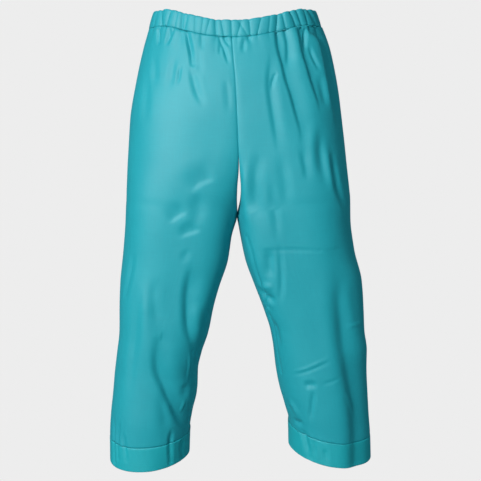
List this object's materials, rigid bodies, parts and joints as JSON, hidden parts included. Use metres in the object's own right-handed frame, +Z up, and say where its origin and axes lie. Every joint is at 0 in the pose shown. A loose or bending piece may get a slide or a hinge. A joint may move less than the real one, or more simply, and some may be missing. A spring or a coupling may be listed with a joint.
{
  "type": "scrub trousers, held open by a wearer who isn't there",
  "caption": "Pull-on cropped scrub trousers with a gathered elastic waist and turned-up hems, standing open in a worn shape.",
  "frame": {"origin": "middle of the waist opening, at the height of the casing's top edge at the side seams, where the wearer's waist holds the trousers up", "axes": "+Z up along the body, +X towards the wearer's left leg, the front faces -Y"},
  "size_m": [0.4785, 0.255, 0.816],
  "materials": {
    "poplin": "matt turquoise polyester-cotton poplin",
    "poplin_double": "matt turquoise poplin, two layers deep",
    "elastic": "woven elastic, off-white"
  },
  "bodies": {
    "root": {"front_right": "poplin", "front_left": "poplin", "back_right": "poplin", "back_left": "poplin", "waistband": "poplin", "waist_elastic": "elastic", "hem_right": "poplin_double", "hem_left": "poplin_double"}
  },
  "joints": []
}
